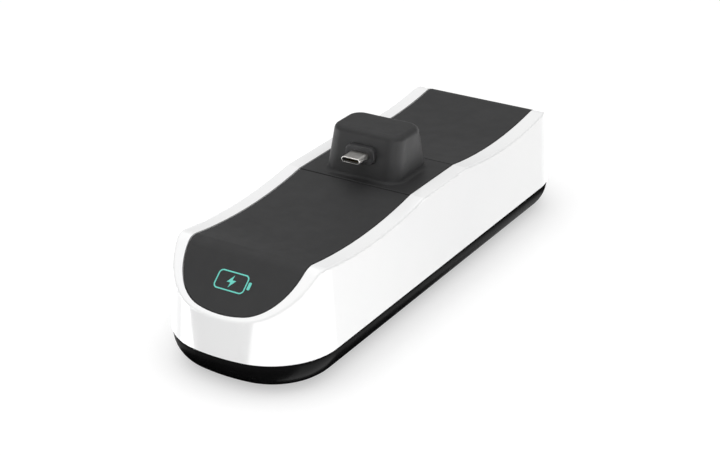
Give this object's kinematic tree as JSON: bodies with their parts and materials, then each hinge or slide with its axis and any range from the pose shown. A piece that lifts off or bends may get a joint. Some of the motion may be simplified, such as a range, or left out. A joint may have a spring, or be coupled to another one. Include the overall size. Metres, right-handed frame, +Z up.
{
  "type": "controller charging dock",
  "caption": "Charging dock for game controllers: a long white rounded body with dark dished cradles either side of a plug post, on a dark undercut base.",
  "frame": {"origin": "on the table under the middle of the dock", "axes": "+X across the dock to the right seen from its front end, +Y from the front end to the rear end, +Z up"},
  "size_m": [0.067, 0.222, 0.064],
  "materials": {
    "shell_white": "glossy white moulded plastic",
    "base_black": "satin black moulded plastic",
    "cradle_dark": "matte dark grey moulded plastic",
    "boot_black": "soft black overmoulded plastic",
    "insulator_black": "black connector plastic",
    "plug_metal": "drawn nickel-plated metal",
    "foot_rubber": "dark grey rubber",
    "board_green": "green coated glass-epoxy board",
    "chip_black": "black moulded package",
    "coil_grey": "pressed ferrite",
    "can_metal": "drawn aluminium can",
    "ribbon_grey": "grey flat cable",
    "socket_cream": "cream moulded header",
    "ballast_metal": "plain sheared plate",
    "screw_metal": "dark plated screws"
  },
  "bodies": {
    "root": {"base_tray": "base_black", "board_screws": "screw_metal", "body_shell": "shell_white", "capacitors": "can_metal", "case_screws": "screw_metal", "charge_chips": "chip_black", "cradle_screws": "screw_metal", "front_ballast": "ballast_metal", "front_cradle": "cradle_dark", "front_left_foot": "foot_rubber", "front_plug_board": "board_green", "front_plug_boot": "boot_black", "front_plug_insulator": "insulator_black", "front_plug_shell": "plug_metal", "front_ribbon": "ribbon_grey", "front_ribbon_socket": "socket_cream", "front_right_foot": "foot_rubber", "inlet_insulator": "insulator_black", "inlet_shell": "plug_metal", "main_board": "board_green", "plug_post": "cradle_dark", "post_screws": "screw_metal", "power_coils": "coil_grey", "rear_ballast": "ballast_metal", "rear_cradle": "cradle_dark", "rear_left_foot": "foot_rubber", "rear_plug_board": "board_green", "rear_plug_boot": "boot_black", "rear_plug_insulator": "insulator_black", "rear_plug_shell": "plug_metal", "rear_ribbon": "ribbon_grey", "rear_ribbon_socket": "socket_cream", "rear_right_foot": "foot_rubber"}
  },
  "joints": []
}
